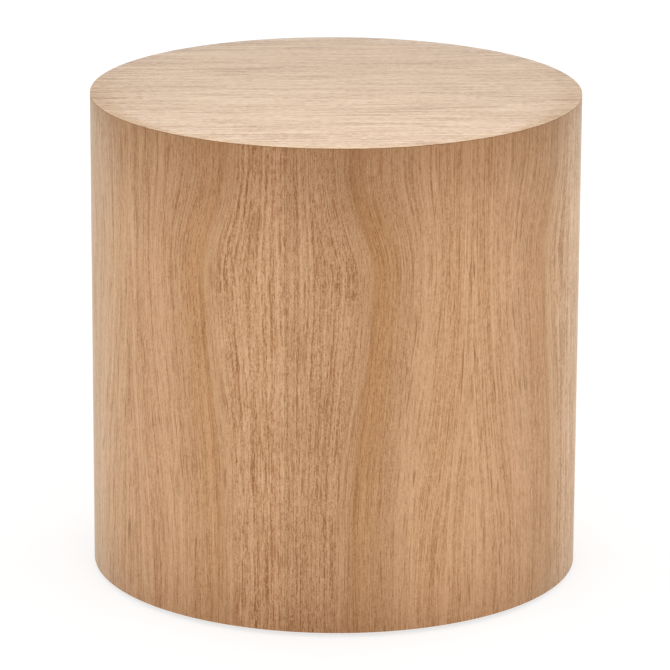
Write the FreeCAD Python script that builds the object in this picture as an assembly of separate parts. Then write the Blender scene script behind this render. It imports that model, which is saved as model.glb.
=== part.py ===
"""Drum side table: a closed, veneered drum that stands on four levelling feet.

Millimetres, +Z up. The origin is on the floor, on the drum's axis, and the front of the table faces -Y.

Two layers of bending plywood are glued round three ring formers, which four posts hold apart. A board
closes the top, a thinner board is screwed in as the base, and wood veneer covers the side and the top.
Each foot is a threaded stem that turns in a tee nut under the base and swivels in its own pad.
"""

import FreeCAD
import Part

import math
import os

# Overall size, with the feet wound in
DIAMETER = 450.0
HEIGHT = 450.0
RIM_GAP = 4.0

# Sheets and boards
VENEER = 0.6
VENEER_ARRIS = 0.25
LEAF_WIDTH = 172.3
LEAF_LINE_ANGLE = 258.6
PLY = 5.0
TOP_BOARD = 18.0
RING_BOARD = 18.0
BASE_BOARD = 9.0
BASE_CHAMFER = 1.0

# Fits
GLUE_LINE = 0.1
JOINERY_CLEARANCE = 0.15
BASE_CLEARANCE = 0.5
SCREW_CLEARANCE = 0.05
THREAD_CLEARANCE = 0.05
SWIVEL_CLEARANCE = 0.15
STOP_GAP = 0.3

# Butt seams where a wrapped sheet closes on itself, each over a post
VENEER_SEAM = 0.2
VENEER_SEAM_ANGLE = 90.0
PLY_SEAM = 0.5
OUTER_SEAM_ANGLE = 180.0
INNER_SEAM_ANGLE = 90.0

# Posts and rings
POST_ANGLES = {"front": 270.0, "right": 0.0, "back": 90.0, "left": 180.0}
POST_WIDTH = 44.0
POST_DEPTH = 28.0
POST_ARRIS = 2.0
RING_LAND = 25.0

# Dowels and screws
FIXING_OFFSET = 11.0
DOWEL_DIAMETER = 8.0
DOWEL_LENGTH = 24.0
DOWEL_CHAMFER = 1.0
SCREW_DIAMETER = 4.0
SCREW_HEAD = 8.0
SCREW_TIP = 4.0
PAN_HEAD_HEIGHT = 2.6
HOLE_MOUTH = 1.0
POST_SCREW_BITE = 32.0
LAND_SCREW_BITE = 18.0
TOP_SCREW_BITE = 11.0
BASE_SCREW_BITE = 14.0
BOARD_SCREW_COUNT = 8
BOARD_SCREW_START = 22.5

# Levelling feet
FOOT_COUNT = 4
FOOT_START = 45.0
PAD_DIAMETER = 30.0
PAD_TOP_DIAMETER = 22.0
PAD_HEIGHT = 7.0
PAD_SKIRT = 3.0
PAD_EDGE = 0.8
SOCKET_FLOOR = 2.0
COLLAR_DIAMETER = 13.0
COLLAR_HEIGHT = 2.0
NECK_DIAMETER = 7.0
HEX_FLATS = 13.0
HEX_HEIGHT = 4.0
HEX_GAP = 0.5
THREAD_DIAMETER = 8.0
THREAD_LENGTH = 26.0
THREAD_CHAMFER = 1.0

# Tee nuts
NUT_FLANGE_DIAMETER = 22.0
NUT_FLANGE = 1.6
NUT_BARREL_DIAMETER = 10.0
NUT_BARREL_LENGTH = 11.0
PRONG_COUNT = 4
PRONG_WIDTH = 3.0
PRONG_LENGTH = 6.0
PRONG_THICKNESS = 1.0
PRONG_INSET = 0.3

# Radii that follow, from the outside in
DRUM_RADIUS = DIAMETER / 2
OUTER_WRAP_RADIUS = DRUM_RADIUS - VENEER - GLUE_LINE
INNER_WRAP_RADIUS = OUTER_WRAP_RADIUS - PLY - GLUE_LINE
FORMER_RADIUS = INNER_WRAP_RADIUS - PLY - GLUE_LINE
POST_OUTER_FACE = math.sqrt((FORMER_RADIUS - GLUE_LINE) ** 2 - (POST_WIDTH / 2) ** 2)
POST_INNER_FACE = POST_OUTER_FACE - POST_DEPTH
POST_CENTRE = (POST_OUTER_FACE + POST_INNER_FACE) / 2
RING_INNER_RADIUS = POST_INNER_FACE - RING_LAND
RING_CENTRE = (RING_INNER_RADIUS + FORMER_RADIUS) / 2

# Heights that follow, from the top down
TOP_VENEER_Z = HEIGHT - VENEER
TOP_BOARD_Z = TOP_VENEER_Z - TOP_BOARD
BACKING_Z = TOP_BOARD_Z - VENEER
TOP_RING_Z = BACKING_Z - RING_BOARD

# Heights that follow, from the floor up
COLLAR_Z = SOCKET_FLOOR + SWIVEL_CLEARANCE
HEX_Z = PAD_HEIGHT + HEX_GAP
THREAD_Z = HEX_Z + HEX_HEIGHT
NUT_FLANGE_Z = THREAD_Z + STOP_GAP
BASE_Z = NUT_FLANGE_Z + NUT_FLANGE
BOTTOM_RING_Z = BASE_Z + BASE_BOARD
POST_Z = BOTTOM_RING_Z + RING_BOARD
POST_LENGTH = TOP_RING_Z - POST_Z
MIDDLE_RING_Z = POST_Z + (POST_LENGTH - RING_BOARD) / 2

UP = FreeCAD.Vector(0, 0, 1)
DOWN = FreeCAD.Vector(0, 0, -1)


def polar(radius, angle, z=0.0, aside=0.0):
    """A point at a radius and an angle in degrees, moved sideways along the tangent."""
    turn = math.radians(angle)
    x = radius * math.cos(turn) - aside * math.sin(turn)
    y = radius * math.sin(turn) + aside * math.cos(turn)
    return FreeCAD.Vector(x, y, z)


def outward(angle):
    """The unit vector that points away from the axis at an angle in degrees."""
    return polar(1.0, angle)


def angles_round(count, start):
    """Evenly spaced angles in degrees, from a first one."""
    return [start + index * 360.0 / count for index in range(count)]


def placed(shape, point, direction=UP):
    """A copy of a shape drawn along +Z, moved to a point and turned to a direction."""
    copy = shape.copy()
    copy.Placement = FreeCAD.Placement(point, FreeCAD.Rotation(UP, direction))
    return copy


def disc(radius, z, thickness):
    """A round board."""
    return Part.makeCylinder(radius, thickness, FreeCAD.Vector(0, 0, z))


def tube(outer_radius, wall, z, height):
    """A plain tube on the drum's axis."""
    return disc(outer_radius, z, height).cut(disc(outer_radius - wall, z, height))


def lathe(profile, sweep=360.0):
    """A solid turned about +Z from (radius, z) points, through a sweep in degrees."""
    points = [FreeCAD.Vector(radius, 0, z) for radius, z in profile]
    outline = Part.makePolygon(points + points[:1])
    return Part.Face(outline).revolve(FreeCAD.Vector(0, 0, 0), UP, sweep)


def radial_block(inner, outer, width, z, height, angle):
    """A box that runs outwards between two radii, centred on an angle."""
    corner = FreeCAD.Vector(inner, -width / 2, z)
    block = Part.makeBox(outer - inner, width, height, corner)
    block.rotate(FreeCAD.Vector(0, 0, 0), UP, angle)
    return block


def edges_at(shape, radius, z):
    """The circular edges of a shape with a radius, at a height."""
    found = []
    for edge in shape.Edges:
        circle = edge.Curve
        if isinstance(circle, Part.Circle) and math.isclose(circle.Radius, radius, abs_tol=1e-6):
            if math.isclose(circle.Center.z, z, abs_tol=1e-6):
                found.append(edge)
    return found


# Wrapped sheets


def wrapped_sheet(outer_radius, thickness, seam, seam_angle):
    """A sheet bent into a tube from the lower rim to the top veneer, with its butt seam left open."""
    height = TOP_VENEER_Z - RIM_GAP
    sheet = tube(outer_radius, thickness, RIM_GAP, height)
    inner, outer = outer_radius - 2 * thickness, outer_radius + thickness
    return sheet.cut(radial_block(inner, outer, seam, RIM_GAP, height, seam_angle))


def leaf_angles():
    """The angles of the joints between the side's book-matched leaves, from the seam right round to it."""
    leaf = math.degrees(LEAF_WIDTH / DRUM_RADIUS)
    start, end = VENEER_SEAM_ANGLE, VENEER_SEAM_ANGLE + 360.0
    first = math.ceil((start - LEAF_LINE_ANGLE) / leaf)
    last = math.floor((end - LEAF_LINE_ANGLE) / leaf)
    joints = [LEAF_LINE_ANGLE + index * leaf for index in range(first, last + 1)]
    return [start] + [angle for angle in joints if start < angle < end] + [end]


def side_veneer():
    """The face veneer round the drum: leaves butted edge to edge, their lower outer edge eased by hand."""
    profile = [
        (DRUM_RADIUS - VENEER, RIM_GAP),
        (DRUM_RADIUS - VENEER_ARRIS, RIM_GAP),
        (DRUM_RADIUS, RIM_GAP + VENEER_ARRIS),
        (DRUM_RADIUS, TOP_VENEER_Z),
        (DRUM_RADIUS - VENEER, TOP_VENEER_Z),
    ]
    half_seam = math.degrees(VENEER_SEAM / 2 / DRUM_RADIUS)
    angles = leaf_angles()
    angles[0] += half_seam
    angles[-1] -= half_seam
    leaves = []
    for start, end in zip(angles, angles[1:]):
        leaf = lathe(profile, end - start)
        leaf.rotate(FreeCAD.Vector(0, 0, 0), UP, start)
        leaves.append(leaf)
    return Part.makeCompound(leaves)


def top_veneer():
    """The face veneer of the top, which laps the side veneer and shows its edge as a fine line."""
    sheet = disc(DRUM_RADIUS, TOP_VENEER_Z, VENEER)
    return sheet.makeFillet(VENEER_ARRIS, edges_at(sheet, DRUM_RADIUS, HEIGHT))


# Fasteners, drawn along +Z with the underside of the head's rim at zero


def countersunk_screw(length):
    """A countersunk wood screw."""
    shank, head = SCREW_DIAMETER / 2, SCREW_HEAD / 2
    return lathe([(0, 0), (head, 0), (shank, head - shank), (shank, length - SCREW_TIP), (0, length)])


def countersunk_hole(length):
    """The hole for a countersunk screw, with a mouth that reaches past the face it opens in."""
    shank, head = SCREW_DIAMETER / 2 + SCREW_CLEARANCE, SCREW_HEAD / 2 + SCREW_CLEARANCE
    return lathe(
        [
            (0, -HOLE_MOUTH),
            (head, -HOLE_MOUTH),
            (head, 0),
            (shank, head - shank),
            (shank, length - SCREW_TIP + SCREW_CLEARANCE),
            (0, length + SCREW_CLEARANCE),
        ]
    )


def pan_head_screw(length):
    """A wood screw with a domed head that seats on the face it is driven through."""
    shank, head = SCREW_DIAMETER / 2, SCREW_HEAD / 2
    screw = lathe(
        [
            (0, -PAN_HEAD_HEIGHT),
            (head, -PAN_HEAD_HEIGHT),
            (head, 0),
            (shank, 0),
            (shank, length - SCREW_TIP),
            (0, length),
        ]
    )
    return screw.makeFillet(PAN_HEAD_HEIGHT / 2, edges_at(screw, head, -PAN_HEAD_HEIGHT))


def shank_hole(length):
    """The hole for a pan-headed screw's shank, open at the face that the head seats on."""
    shank = SCREW_DIAMETER / 2 + SCREW_CLEARANCE
    tip = length - SCREW_TIP + SCREW_CLEARANCE
    return lathe([(0, 0), (shank, 0), (shank, tip), (0, length + SCREW_CLEARANCE)])


def dowel():
    """A fluteless beech dowel with eased ends, centred on zero."""
    radius, half = DOWEL_DIAMETER / 2, DOWEL_LENGTH / 2
    eased = radius - DOWEL_CHAMFER
    rise = half - DOWEL_CHAMFER
    return lathe([(0, -half), (eased, -half), (radius, -rise), (radius, rise), (eased, half), (0, half)])


def dowel_hole():
    """The pair of blind holes that a dowel sits in, as one cutter."""
    half = DOWEL_LENGTH / 2 + JOINERY_CLEARANCE
    radius = DOWEL_DIAMETER / 2 + JOINERY_CLEARANCE
    return Part.makeCylinder(radius, 2 * half, FreeCAD.Vector(0, 0, -half))


# Where the fasteners go, as (point, direction) pairs


def post_screw_places():
    """Down through the top ring and up through the bottom ring, into the ends of the posts."""
    places = []
    for angle in POST_ANGLES.values():
        places.append((polar(POST_CENTRE, angle, BACKING_Z, FIXING_OFFSET), DOWN))
        places.append((polar(POST_CENTRE, angle, BOTTOM_RING_Z, FIXING_OFFSET), UP))
    return places


def post_dowel_places():
    """Across each joint between a post and a ring, beside the screw."""
    places = []
    for angle in POST_ANGLES.values():
        for joint_z in (TOP_RING_Z, POST_Z):
            places.append((polar(POST_CENTRE, angle, joint_z, -FIXING_OFFSET), UP))
    return places


def land_screw_places():
    """Outwards from the bore of the middle ring, into the inner face of each post."""
    middle = MIDDLE_RING_Z + RING_BOARD / 2
    return [(polar(RING_INNER_RADIUS, angle, middle), outward(angle)) for angle in POST_ANGLES.values()]


def board_screw_places(z):
    """Upwards, evenly round the middle of a ring's width, clear of posts and feet."""
    angles = angles_round(BOARD_SCREW_COUNT, BOARD_SCREW_START)
    return [(polar(RING_CENTRE, angle, z), UP) for angle in angles]


def foot_places(z):
    """The points on the feet's axes, at a height."""
    return [polar(RING_CENTRE, angle, z) for angle in angles_round(FOOT_COUNT, FOOT_START)]


POST_SCREW_LENGTH = RING_BOARD + POST_SCREW_BITE
LAND_SCREW_LENGTH = RING_LAND + LAND_SCREW_BITE
TOP_SCREW_LENGTH = RING_BOARD + VENEER + TOP_SCREW_BITE
BASE_SCREW_LENGTH = BASE_BOARD + BASE_SCREW_BITE


def group(shape, places):
    """Separate copies of one fastener, at all its places."""
    return Part.makeCompound([placed(shape, point, direction) for point, direction in places])


def post_screw_holes():
    """Cutters for the screws in the ends of the posts."""
    return group(countersunk_hole(POST_SCREW_LENGTH), post_screw_places())


def post_dowel_holes():
    """Cutters for the dowels in the ends of the posts."""
    return group(dowel_hole(), post_dowel_places())


def land_screw_holes():
    """Cutters for the screws in the middle ring."""
    return group(countersunk_hole(LAND_SCREW_LENGTH), land_screw_places())


def top_screw_holes():
    """Cutters for the screws that hold the top."""
    return group(shank_hole(TOP_SCREW_LENGTH), board_screw_places(TOP_RING_Z))


def base_screw_holes():
    """Cutters for the screws that hold the base."""
    return group(countersunk_hole(BASE_SCREW_LENGTH), board_screw_places(BASE_Z))


# Frame


def ring(z):
    """A former: a board ring that holds the plywood round."""
    return tube(FORMER_RADIUS, FORMER_RADIUS - RING_INNER_RADIUS, z, RING_BOARD)


def top_ring():
    """The former under the top, drilled for the posts and the top."""
    return ring(TOP_RING_Z).cut([post_screw_holes(), post_dowel_holes(), top_screw_holes()])


def middle_ring():
    """The former at half height, notched to pass the posts."""
    clear = JOINERY_CLEARANCE
    notches = [
        radial_block(
            POST_INNER_FACE - clear, DRUM_RADIUS, POST_WIDTH + 2 * clear, MIDDLE_RING_Z, RING_BOARD, angle
        )
        for angle in POST_ANGLES.values()
    ]
    return ring(MIDDLE_RING_Z).cut(notches + [land_screw_holes()])


def bottom_ring():
    """The former over the base, drilled for the posts, the base and the feet."""
    foot_holes = [
        Part.makeCylinder(NUT_BARREL_DIAMETER / 2 + JOINERY_CLEARANCE, RING_BOARD, point)
        for point in foot_places(BOTTOM_RING_Z)
    ]
    holes = [post_screw_holes(), post_dowel_holes(), base_screw_holes()]
    return ring(BOTTOM_RING_Z).cut(holes + foot_holes)


def post(angle):
    """A softwood post with eased edges, drilled at both ends and for the middle ring."""
    stick = radial_block(POST_INNER_FACE, POST_OUTER_FACE, POST_WIDTH, POST_Z, POST_LENGTH, angle)
    upright = [edge for edge in stick.Edges if math.isclose(edge.Length, POST_LENGTH, abs_tol=1e-6)]
    stick = stick.makeChamfer(POST_ARRIS, upright)
    return stick.cut([post_screw_holes(), post_dowel_holes(), land_screw_holes()])


# Boards


def top_panel():
    """The top board, between its face veneer and its backing veneer."""
    return disc(FORMER_RADIUS, TOP_BOARD_Z, TOP_BOARD).cut(top_screw_holes())


def top_backing_veneer():
    """The veneer under the top board that keeps it flat."""
    return disc(FORMER_RADIUS, BACKING_Z, VENEER).cut(top_screw_holes())


def base_panel():
    """The base board, recessed in the drum and drilled for its screws and tee nuts."""
    radius = FORMER_RADIUS - BASE_CLEARANCE
    board = disc(radius, BASE_Z, BASE_BOARD)
    board = board.makeChamfer(BASE_CHAMFER, edges_at(board, radius, BASE_Z))
    return board.cut([base_screw_holes(), tee_nut_seats()])


# Levelling feet, drawn about their own axes with the floor at zero


def tee_nut_body(clearance=0.0):
    """A tee nut's flange and barrel without the bore, or with a clearance the hole for its barrel."""
    barrel = NUT_BARREL_DIAMETER / 2 + clearance
    top = BASE_Z + NUT_BARREL_LENGTH + clearance
    flange = NUT_FLANGE_DIAMETER / 2
    return lathe(
        [
            (0, NUT_FLANGE_Z),
            (flange, NUT_FLANGE_Z),
            (flange, BASE_Z),
            (barrel, BASE_Z),
            (barrel, top),
            (0, top),
        ]
    )


def tee_nut_prongs():
    """The pointed prongs that stand on the flange's rim and stop the nut from turning."""
    inner = NUT_FLANGE_DIAMETER / 2 - PRONG_INSET - PRONG_THICKNESS
    half = PRONG_WIDTH / 2
    prongs = []
    for angle in angles_round(PRONG_COUNT, FOOT_START):
        corners = [(-half, BASE_Z), (half, BASE_Z), (0, BASE_Z + PRONG_LENGTH)]
        points = [FreeCAD.Vector(inner, aside, z) for aside, z in corners]
        face = Part.Face(Part.makePolygon(points + points[:1]))
        prong = face.extrude(FreeCAD.Vector(PRONG_THICKNESS, 0, 0))
        prong.rotate(FreeCAD.Vector(0, 0, 0), UP, angle)
        prongs.append(prong)
    return prongs


def tee_nut():
    """A pronged tee nut, its thread drawn as a plain bore that the stem runs in."""
    bore = Part.makeCylinder(
        THREAD_DIAMETER / 2 + THREAD_CLEARANCE,
        NUT_FLANGE + NUT_BARREL_LENGTH,
        FreeCAD.Vector(0, 0, NUT_FLANGE_Z),
    )
    return tee_nut_body().fuse(tee_nut_prongs()).removeSplitter().cut(bore)


def tee_nut_seats():
    """Cutters for the barrels and prongs of all the tee nuts."""
    seat = Part.makeCompound([tee_nut_body(JOINERY_CLEARANCE)] + tee_nut_prongs())
    return Part.makeCompound([placed(seat, point) for point in foot_places(0)])


def foot_pad():
    """A nylon pad with a captive socket for the stem's collar."""
    rim, top = PAD_DIAMETER / 2, PAD_TOP_DIAMETER / 2
    socket = COLLAR_DIAMETER / 2 + SWIVEL_CLEARANCE
    socket_top = COLLAR_Z + COLLAR_HEIGHT + SWIVEL_CLEARANCE
    neck = NECK_DIAMETER / 2 + SWIVEL_CLEARANCE
    return lathe(
        [
            (0, 0),
            (rim - PAD_EDGE, 0),
            (rim, PAD_EDGE),
            (rim, PAD_SKIRT),
            (top, PAD_HEIGHT),
            (neck, PAD_HEIGHT),
            (neck, socket_top),
            (socket, socket_top),
            (socket, SOCKET_FLOOR),
            (0, SOCKET_FLOOR),
        ]
    )


def foot_stem():
    """A stem with a collar that swivels in the pad, a hexagon for a spanner, and its thread drawn plain."""
    collar, neck, thread = COLLAR_DIAMETER / 2, NECK_DIAMETER / 2, THREAD_DIAMETER / 2
    collar_top = COLLAR_Z + COLLAR_HEIGHT
    top = THREAD_Z + THREAD_LENGTH
    spindle = lathe(
        [
            (0, COLLAR_Z),
            (collar, COLLAR_Z),
            (collar, collar_top),
            (neck, collar_top),
            (neck, THREAD_Z),
            (thread, THREAD_Z),
            (thread, top - THREAD_CHAMFER),
            (thread - THREAD_CHAMFER, top),
            (0, top),
        ]
    )
    corner = HEX_FLATS / math.sqrt(3)
    corners = [polar(corner, angle, HEX_Z) for angle in angles_round(6, 0)]
    hexagon = Part.Face(Part.makePolygon(corners + corners[:1])).extrude(UP * HEX_HEIGHT)
    return spindle.fuse(hexagon).removeSplitter()


def build():
    """Every piece of the table by its name."""
    pieces = {
        "top_veneer": top_veneer(),
        "side_veneer": side_veneer(),
        "outer_ply_wrap": wrapped_sheet(OUTER_WRAP_RADIUS, PLY, PLY_SEAM, OUTER_SEAM_ANGLE),
        "inner_ply_wrap": wrapped_sheet(INNER_WRAP_RADIUS, PLY, PLY_SEAM, INNER_SEAM_ANGLE),
        "top_panel": top_panel(),
        "top_backing_veneer": top_backing_veneer(),
        "top_ring": top_ring(),
        "middle_ring": middle_ring(),
        "bottom_ring": bottom_ring(),
        "base_panel": base_panel(),
        "post_screws": group(countersunk_screw(POST_SCREW_LENGTH), post_screw_places()),
        "post_dowels": group(dowel(), post_dowel_places()),
        "middle_ring_screws": group(countersunk_screw(LAND_SCREW_LENGTH), land_screw_places()),
        "top_screws": group(pan_head_screw(TOP_SCREW_LENGTH), board_screw_places(TOP_RING_Z)),
        "base_screws": group(countersunk_screw(BASE_SCREW_LENGTH), board_screw_places(BASE_Z)),
        "tee_nuts": Part.makeCompound([placed(tee_nut(), point) for point in foot_places(0)]),
    }
    for side, angle in POST_ANGLES.items():
        pieces[f"post_{side}"] = post(angle)
    for number, point in enumerate(foot_places(0), start=1):
        pieces[f"foot_pad_{number}"] = placed(foot_pad(), point)
        pieces[f"foot_stem_{number}"] = placed(foot_stem(), point)
    return pieces


def main():
    """Writes each piece to its own STEP file."""
    os.makedirs("parts", exist_ok=True)
    for name, shape in build().items():
        print(f"{name}: {len(shape.Solids)} solids, valid {shape.isValid()}, {shape.Volume / 1000:.2f} cm3")
        shape.exportStep(f"parts/{name}.step")


main()
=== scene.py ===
"""Looks of the drum side table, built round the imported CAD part.

Metres, +Z up, in the CAD part's own frame: the floor is z = 0, the drum stands on the Z axis and its
front faces -Y. The side veneer is laid in book-matched leaves, so each leaf's figure is the mirror of
its neighbour's.
"""

import logging
import math
from dataclasses import dataclass
from enum import Enum
from typing import Sequence, Union

import bmesh
import bpy
from mathutils import Matrix, Vector


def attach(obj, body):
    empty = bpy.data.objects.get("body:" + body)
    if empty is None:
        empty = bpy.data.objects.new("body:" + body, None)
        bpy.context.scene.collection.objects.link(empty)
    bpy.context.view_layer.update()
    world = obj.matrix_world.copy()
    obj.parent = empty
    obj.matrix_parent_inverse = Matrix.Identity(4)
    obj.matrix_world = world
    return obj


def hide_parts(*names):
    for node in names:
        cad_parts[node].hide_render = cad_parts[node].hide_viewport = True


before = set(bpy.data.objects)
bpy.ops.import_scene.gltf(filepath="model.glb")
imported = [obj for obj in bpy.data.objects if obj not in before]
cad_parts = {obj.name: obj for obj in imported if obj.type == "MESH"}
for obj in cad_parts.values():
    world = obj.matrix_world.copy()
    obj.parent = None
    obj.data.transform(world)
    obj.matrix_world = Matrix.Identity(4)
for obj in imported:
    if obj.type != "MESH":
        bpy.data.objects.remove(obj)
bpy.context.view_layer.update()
MM = 0.001

# The table's sizes, as the CAD part has them
DRUM_RADIUS = 225.0 * MM
TABLE_TOP = 450.0 * MM
RIM = 4.0 * MM
VENEER = 0.6 * MM
PLY = 5.0 * MM
GLUE_LINE = 0.1 * MM
FIXING_CIRCLE = 186.983 * MM
BASE_LEVEL = 13.4 * MM
FEET = 4
SIDE_TOP = TABLE_TOP - VENEER
OUTER_WRAP = DRUM_RADIUS - VENEER - GLUE_LINE
INNER_WRAP = OUTER_WRAP - PLY - GLUE_LINE

# The attribute that carries the grain, and the least lengths of rings and lines in millimetres
GRAIN = "grain"
RING_LENGTH = 100.0
LINE_LENGTH = 10.0

# The value that noise swings about, and what counts as on the axis and as one point, in metres
MIDDLE = 0.5
ON_AXIS = 1e-9
ONE_POINT = 1e-6

Colour = tuple[float, float, float, float]
Socket = bpy.types.NodeSocket
Feed = Union[Socket, float, int, Sequence[float]]
Point = tuple[float, float]

log = logging.getLogger("drum_table")


class Slot(Enum):
    """The record's material slots of the pieces that are made here."""

    SIDE = "wood_veneer_side"
    TOP = "wood_veneer_top"
    PLYWOOD = "bending_plywood"
    ZINC = "zinc_plated_steel"
    NYLON = "nylon"


def tone(code: str) -> Colour:
    """Turns a six-digit sRGB code into a linear colour.

    Args:
        code: The colour as "#rrggbb".

    Returns:
        The colour with full alpha.
    """
    parts = [int(code[i : i + 2], 16) / 255 for i in (1, 3, 5)]
    # The curve and its numbers are those of the sRGB standard
    linear = [c / 12.92 if c <= 0.04045 else ((c + 0.055) / 1.055) ** 2.4 for c in parts]
    return (linear[0], linear[1], linear[2], 1.0)


class Graph:
    """Adds nodes to a tree and hands back their sockets."""

    def __init__(self, tree: bpy.types.NodeTree) -> None:
        """Wraps a tree.

        Args:
            tree: The node tree to fill.
        """
        self.tree = tree

    def feed(self, socket: Socket, value: Feed) -> None:
        """Links a socket to another, or sets its own value.

        Args:
            socket: The input to feed.
            value: An output socket, or a plain value.
        """
        if isinstance(value, bpy.types.NodeSocket):
            self.tree.links.new(value, socket)
        else:
            socket.default_value = value

    def node(self, kind: str, settings: dict | None = None, inputs: dict | None = None) -> bpy.types.Node:
        """Adds a node.

        Args:
            kind: The node's type name.
            settings: Its properties.
            inputs: Its inputs by name or number.

        Returns:
            The new node.
        """
        made = self.tree.nodes.new(kind)
        for name, value in (settings or {}).items():
            setattr(made, name, value)
        for name, value in (inputs or {}).items():
            self.feed(made.inputs[name], value)
        return made

    def math(self, operation: str, first: Feed, second: Feed = 0.0, third: Feed = 0.0) -> Socket:
        """Adds a Math node and returns its result."""
        inputs = {0: first, 1: second, 2: third}
        return self.node("ShaderNodeMath", {"operation": operation}, inputs).outputs[0]

    def add(self, first: Feed, second: Feed) -> Socket:
        """Returns the sum of two values."""
        return self.math("ADD", first, second)

    def subtract(self, first: Feed, second: Feed) -> Socket:
        """Returns the first value less the second."""
        return self.math("SUBTRACT", first, second)

    def times(self, first: Feed, second: Feed) -> Socket:
        """Returns the product of two values."""
        return self.math("MULTIPLY", first, second)

    def point(self, x: Feed, y: Feed, z: Feed = 0.0) -> Socket:
        """Returns a vector made of three values."""
        return self.node("ShaderNodeCombineXYZ", None, {0: x, 1: y, 2: z}).outputs[0]

    def parts(self, vector: Socket) -> tuple[Socket, Socket, Socket]:
        """Returns a vector's three values."""
        split = self.node("ShaderNodeSeparateXYZ", None, {0: vector})
        return split.outputs[0], split.outputs[1], split.outputs[2]

    def rise(self, value: Feed, low: float, high: float, start: float = 0.0, end: float = 1.0) -> Socket:
        """Maps a value smoothly.

        Args:
            value: The value to map.
            low: Where the rise begins.
            high: Where it ends.
            start: The result up to low.
            end: The result from high on.

        Returns:
            The mapped value.
        """
        settings = {"interpolation_type": "SMOOTHSTEP", "clamp": True}
        inputs = {0: value, 1: low, 2: high, 3: start, 4: end}
        return self.node("ShaderNodeMapRange", settings, inputs).outputs[0]

    def noise(self, vector: Socket, detail: float, roughness: float, scale: float = 1.0) -> Socket:
        """Adds a Noise Texture.

        Args:
            vector: Where it is read.
            detail: How many finer layers it has.
            roughness: How strong they are.
            scale: Its frequency.

        Returns:
            A value about 0.5.
        """
        inputs = {"Vector": vector, "Scale": scale, "Detail": detail, "Roughness": roughness}
        return self.node("ShaderNodeTexNoise", None, inputs).outputs["Fac"]

    def mix(self, share: Feed, first: Feed, second: Feed, blend: str = "MIX") -> Socket:
        """Mixes two colours.

        Args:
            share: How much of the second is used.
            first: The colour underneath.
            second: The colour on top.
            blend: The way they mix.

        Returns:
            The mixed colour.
        """
        settings = {"data_type": "RGBA", "blend_type": blend, "clamp_factor": True}
        # The node has sockets for every data type, and these are the ones for colours
        return self.node("ShaderNodeMix", settings, {0: share, 6: first, 7: second}).outputs[2]

    def ramp(self, value: Feed, places: Sequence[float], codes: Sequence[str]) -> Socket:
        """Adds a Color Ramp.

        Args:
            value: The value that picks the colour.
            places: The values that the colours lie at.
            codes: The colours.

        Returns:
            The picked colour.
        """
        made = self.node("ShaderNodeValToRGB", None, {0: value})
        elements = made.color_ramp.elements
        while len(elements) < len(places):
            elements.new(len(elements) / len(places))
        for element, place, code in zip(elements, places, codes):
            element.position = place
            element.color = tone(code)
        return made.outputs[0]


def new_material(name: str) -> tuple[bpy.types.Material, Graph, bpy.types.Node]:
    """Makes an empty material with a Principled shader.

    Args:
        name: The material's name.

    Returns:
        The material, its graph and its shader node.
    """
    material = bpy.data.materials.new(name)
    material.use_nodes = True
    material.node_tree.nodes.clear()
    graph = Graph(material.node_tree)
    shader = graph.node("ShaderNodeBsdfPrincipled")
    graph.node("ShaderNodeOutputMaterial", None, {"Surface": shader.outputs[0]})
    return material, graph, shader


def object_place(graph: Graph) -> Socket:
    """Returns Object coordinates in millimetres."""
    place = graph.node("ShaderNodeTexCoord").outputs["Object"]
    inputs = {"Vector": place, "Scale": (1 / MM, 1 / MM, 1 / MM)}
    return graph.node("ShaderNodeMapping", None, inputs).outputs[0]


class Grain(Enum):
    """The scales of a veneer's grain."""

    RINGS = "rings"
    LINES = "lines"
    FLECKS = "flecks"


@dataclass(frozen=True)
class Streak:
    """Noise drawn out along the grain, its sizes in millimetres."""

    width: float
    length: float
    weight: float
    seed: float
    shift: float = 0.35
    detail: float = 2.0
    gain: float = 0.55

    @property
    def grain(self) -> Grain:
        """The scale that the streak's length puts it in."""
        if self.length >= RING_LENGTH:
            return Grain.RINGS
        return Grain.LINES if self.length >= LINE_LENGTH else Grain.FLECKS

    def read(self, graph: Graph, line: Socket, along: Socket, leaf: Socket) -> Socket:
        """Reads the noise.

        Args:
            graph: The material's graph.
            line: The grain line's number.
            along: The distance along the grain.
            leaf: The leaf's number, which changes the noise a little from leaf to leaf.

        Returns:
            A value about 0.5.
        """
        depth = graph.math("MULTIPLY_ADD", leaf, self.shift, self.seed)
        place = graph.point(graph.times(line, 1 / self.width), graph.times(along, 1 / self.length), depth)
        return graph.noise(place, self.detail, self.gain)


@dataclass(frozen=True)
class Lengthwise:
    """Grain that runs straight along the sheet and drifts a little."""

    slope: float = 0.05
    wave: Streak = Streak(60.0, 190.0, 11.0, 41.0)

    def line(self, graph: Graph, across: Socket, along: Socket, leaf: Socket) -> Socket:
        """Bends the grain lines.

        Args:
            graph: The material's graph.
            across: The distance across the sheet.
            along: The distance along it.
            leaf: The leaf's number.

        Returns:
            The number of the grain line at each place, in millimetres across a straight sheet.
        """
        swing = graph.subtract(self.wave.read(graph, across, along, leaf), MIDDLE)
        drift = graph.subtract(across, graph.times(along, self.slope))
        return graph.math("MULTIPLY_ADD", swing, self.wave.weight, drift)

    def tint(self, graph: Graph, line: Socket, along: Socket, leaf: Socket, colour: Socket) -> Socket:
        """Returns the colour as it is, since the sheet has no figure of its own."""
        return colour

    def crowd(self, graph: Graph, line: Socket, along: Socket) -> Feed:
        """Returns nothing to add, since the pores are as crowded all over."""
        return 0.0

    def spread(self, graph: Graph, line: Socket) -> Socket:
        """Returns the line's number as it is, since the rings are evenly spaced."""
        return line

    def contrast(self, graph: Graph, line: Socket, grain: Grain) -> Feed:
        """Returns full strength, since the grain is as strong all over."""
        return 1.0


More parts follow.
